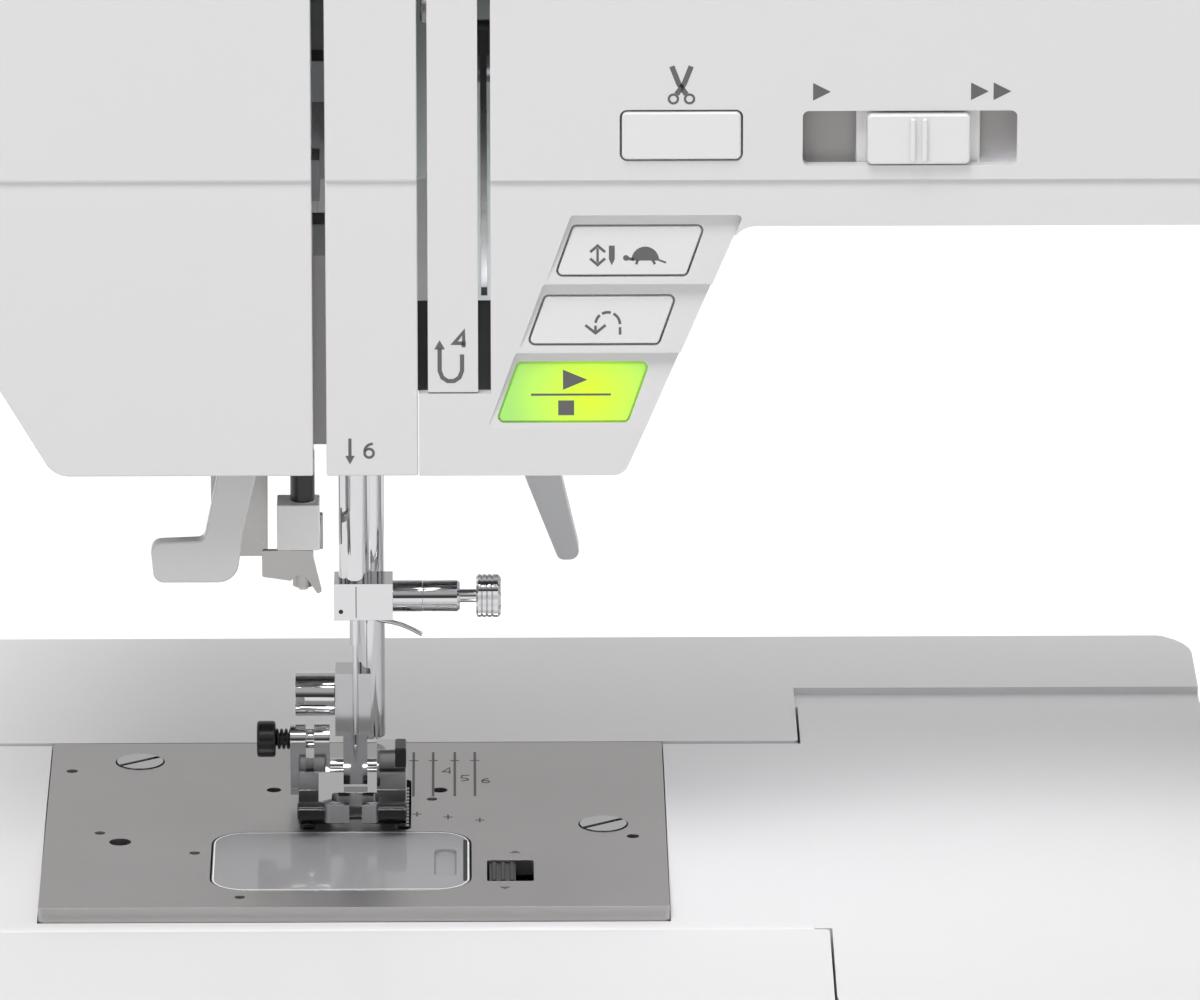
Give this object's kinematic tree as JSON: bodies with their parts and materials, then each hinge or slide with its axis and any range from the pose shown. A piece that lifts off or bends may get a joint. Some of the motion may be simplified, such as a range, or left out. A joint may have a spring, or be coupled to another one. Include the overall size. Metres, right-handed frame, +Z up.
{
  "type": "sewing machine",
  "caption": "Household sewing machine with free arm, rotary hook, needle threader, push-button controls, carry handle and slide-on extension table.",
  "frame": {"origin": "centre of the bottom of the bounding box, on the surface the machine stands on", "axes": "+X along the bed towards the handwheel, +Y away from the person sewing, +Z up"},
  "size_m": [0.4894, 0.2196, 0.307],
  "materials": {
    "white_shell": "satin moulded plastic, off white",
    "white_parts": "gloss moulded plastic, white",
    "grey_plastic": "fine-grained moulded plastic, light grey",
    "dark_plastic": "matt moulded plastic, near black",
    "green_button": "translucent plastic, lit green",
    "plate_steel": "satin ground steel",
    "chromed": "polished chrome plate",
    "sheet_steel": "stamped sheet steel",
    "shaft_steel": "turned steel",
    "casting": "as-cast aluminium",
    "clear_cover": "clear polycarbonate",
    "clear_bobbin": "clear polycarbonate",
    "screen": "dark glossy display window",
    "lamp": "frosted lamp diffuser",
    "rubber": "matt rubber",
    "circuit": "green solder resist"
  },
  "bodies": {
    "body": {"base_plate": "dark_plastic", "rubber_feet": "rubber", "machine_frame": "casting", "bed_cover": "white_shell", "free_arm_cover": "white_shell", "front_cover": "white_shell", "rear_cover": "white_shell", "face_cover": "white_shell", "thread_tongue": "white_shell", "needle_plate": "plate_steel", "plate_screws": "chromed", "display_bezel": "grey_plastic", "display_glass": "screen", "head_lamp": "lamp", "arm_lamp": "lamp", "tension_unit": "sheet_steel", "spool_tray": "white_parts", "drive_motor": "dark_plastic", "belts": "rubber", "circuit_boards": "circuit", "stepper_motors": "sheet_steel", "rear_sockets": "dark_plastic", "bobbin_case": "dark_plastic", "bobbin_cover": "clear_cover"},
    "main_shaft": {"handwheel": "white_parts", "upper_shaft": "shaft_steel"},
    "lower_shaft": {"lower_shaft": "shaft_steel"},
    "hook": {"rotary_hook": "chromed"},
    "motor_pulley": {"motor_pulley": "shaft_steel"},
    "needle_frame": {"needle_bar_frame": "casting"},
    "needle_bar": {"needle_bar": "chromed", "needle_clamp": "chromed", "needle": "chromed"},
    "clamp_screw": {"clamp_screw": "chromed"},
    "take_up_lever": {"take_up_lever": "chromed"},
    "presser_bar": {"presser_bar": "chromed", "foot_holder": "chromed"},
    "holder_screw": {"holder_screw": "chromed"},
    "presser_foot": {"presser_foot": "chromed"},
    "leveling_button": {"leveling_button": "dark_plastic"},
    "foot_lifter": {"foot_lifter": "grey_plastic"},
    "threader": {"threader_lever": "grey_plastic", "threader_carrier": "white_parts"},
    "threader_hook": {"threader_hook": "sheet_steel"},
    "buttonhole_lever": {"buttonhole_lever": "sheet_steel"},
    "start_stop_button": {"start_stop_button": "green_button"},
    "reverse_button": {"reverse_button": "white_parts"},
    "needle_button": {"needle_button": "white_parts"},
    "cutter_button": {"cutter_button": "white_parts"},
    "speed_slider": {"speed_slider": "white_parts"},
    "carry_handle": {"carry_handle": "grey_plastic"},
    "top_lid": {"top_lid": "white_shell"},
    "tension_dial": {"tension_dial": "white_parts"},
    "bobbin_winder": {"bobbin_winder": "white_parts"},
    "power_switch": {"power_switch": "dark_plastic"},
    "bobbin_latch": {"bobbin_latch": "dark_plastic"},
    "bobbin": {"bobbin": "clear_bobbin"},
    "feed_carriage": {"feed_carriage": "shaft_steel"},
    "feed_dog": {"feed_dog": "shaft_steel"},
    "extension_table": {"extension_table": "white_shell"}
  },
  "joints": [
    {"name": "handwheel_turn", "type": "hinge", "parent": "body", "child": "main_shaft", "pos_m": [0.22075, 0.00925, 0.26], "axis": [1, 0, 0], "continuous": true},
    {"name": "lower_shaft_turn", "type": "hinge", "parent": "body", "child": "lower_shaft", "pos_m": [-0.09525, -0.00475, 0.046], "axis": [1, 0, 0], "continuous": true},
    {"name": "hook_turn", "type": "hinge", "parent": "body", "child": "hook", "pos_m": [-0.09525, -0.02575, 0.06], "axis": [0, 0, 1], "continuous": true},
    {"name": "motor_turn", "type": "hinge", "parent": "body", "child": "motor_pulley", "pos_m": [0.15475, 0.02525, 0.164], "axis": [1, 0, 0], "continuous": true},
    {"name": "zigzag_swing", "type": "hinge", "parent": "body", "child": "needle_frame", "pos_m": [-0.09525, -0.00475, 0.286], "axis": [0, 1, 0], "range_deg": [-1.01, 1.01]},
    {"name": "needle_bar_slide", "type": "slide", "parent": "needle_frame", "child": "needle_bar", "axis": [0, 0, 1], "range_m": [-0.033, 0]},
    {"name": "clamp_screw_turn", "type": "hinge", "parent": "needle_bar", "child": "clamp_screw", "pos_m": [-0.07525, -0.00475, 0.13285], "axis": [1, 0, 0], "continuous": true},
    {"name": "take_up_swing", "type": "hinge", "parent": "body", "child": "take_up_lever", "pos_m": [-0.07025, 0.00525, 0.238], "axis": [1, 0, 0], "range_deg": [-55, 0]},
    {"name": "lifter_swing", "type": "hinge", "parent": "body", "child": "foot_lifter", "pos_m": [-0.06825, 0.04525, 0.1744], "axis": [0, -1, 0], "range_deg": [0, 50]},
    {"name": "presser_slide", "type": "slide", "parent": "body", "child": "presser_bar", "axis": [0, 0, 1], "range_m": [0, 0.006]},
    {"name": "holder_screw_turn", "type": "hinge", "parent": "presser_bar", "child": "holder_screw", "pos_m": [-0.10025, 0.00475, 0.11], "axis": [1, 0, 0], "continuous": true},
    {"name": "foot_tilt", "type": "hinge", "parent": "presser_bar", "child": "presser_foot", "pos_m": [-0.09525, 0.00275, 0.0962], "axis": [1, 0, 0], "range_deg": [-2, 2]},
    {"name": "leveling_push", "type": "slide", "parent": "presser_foot", "child": "leveling_button", "axis": [1, 0, 0], "range_m": [0, 0.002], "stiffness_N_per_m": 300},
    {"name": "threader_slide", "type": "slide", "parent": "body", "child": "threader", "axis": [0, 0, 1], "range_m": [-0.036, 0]},
    {"name": "threader_hook_turn", "type": "hinge", "parent": "threader", "child": "threader_hook", "pos_m": [-0.1049, -0.01675, 0.143], "axis": [0, 0, 1], "range_deg": [0, 70]},
    {"name": "buttonhole_slide", "type": "slide", "parent": "body", "child": "buttonhole_lever", "axis": [0, 0, 1], "range_m": [-0.045, 0]},
    {"name": "start_stop_push", "type": "slide", "parent": "body", "child": "start_stop_button", "axis": [0, 1, 0], "range_m": [0, 0.0012], "stiffness_N_per_m": 800},
    {"name": "reverse_push", "type": "slide", "parent": "body", "child": "reverse_button", "axis": [0, 1, 0], "range_m": [0, 0.0012], "stiffness_N_per_m": 800},
    {"name": "needle_push", "type": "slide", "parent": "body", "child": "needle_button", "axis": [0, 1, 0], "range_m": [0, 0.0012], "stiffness_N_per_m": 800},
    {"name": "cutter_push", "type": "slide", "parent": "body", "child": "cutter_button", "axis": [0, 1, 0], "range_m": [0, 0.0012], "stiffness_N_per_m": 800},
    {"name": "speed_slide", "type": "slide", "parent": "body", "child": "speed_slider", "axis": [1, 0, 0], "range_m": [-0.0115, 0.0083]},
    {"name": "handle_swing", "type": "hinge", "parent": "body", "child": "carry_handle", "pos_m": [0.04775, 0.05225, 0.296], "axis": [1, 0, 0], "range_deg": [0, 180]},
    {"name": "lid_swing", "type": "hinge", "parent": "body", "child": "top_lid", "pos_m": [0.04775, 0.03825, 0.3038], "axis": [1, 0, 0], "range_deg": [-100, 0]},
    {"name": "tension_turn", "type": "hinge", "parent": "body", "child": "tension_dial", "pos_m": [-0.13525, -0.00475, 0.292], "axis": [1, 0, 0], "range_deg": [-120, 150]},
    {"name": "winder_slide", "type": "slide", "parent": "body", "child": "bobbin_winder", "axis": [1, 0, 0], "range_m": [0, 0.005]},
    {"name": "power_rock", "type": "hinge", "parent": "body", "child": "power_switch", "pos_m": [0.21775, -0.02475, 0.035], "axis": [0, 1, 0], "range_deg": [0, 16]},
    {"name": "latch_slide", "type": "slide", "parent": "body", "child": "bobbin_latch", "axis": [1, 0, 0], "range_m": [0, 0.003]},
    {"name": "bobbin_turn", "type": "hinge", "parent": "body", "child": "bobbin", "pos_m": [-0.09525, -0.02575, 0.068], "axis": [0, 0, 1], "continuous": true},
    {"name": "feed_lift", "type": "slide", "parent": "body", "child": "feed_carriage", "axis": [0, 0, 1], "range_m": [0, 0.001]},
    {"name": "feed_stroke", "type": "slide", "parent": "feed_carriage", "child": "feed_dog", "axis": [0, 1, 0], "range_m": [-0.0025, 0.0025]},
    {"name": "table_slide", "type": "slide", "parent": "body", "child": "extension_table", "axis": [1, 0, 0], "range_m": [-0.172, 0]}
  ],
  "couplings": [
    {"joint": "lower_shaft_turn", "follows": "handwheel_turn", "ratio": 1},
    {"joint": "hook_turn", "follows": "handwheel_turn", "ratio": 2},
    {"joint": "motor_turn", "follows": "handwheel_turn", "ratio": 4},
    {"joint": "lifter_swing", "follows": "presser_slide", "rad_per_m": 145.44}
  ]
}
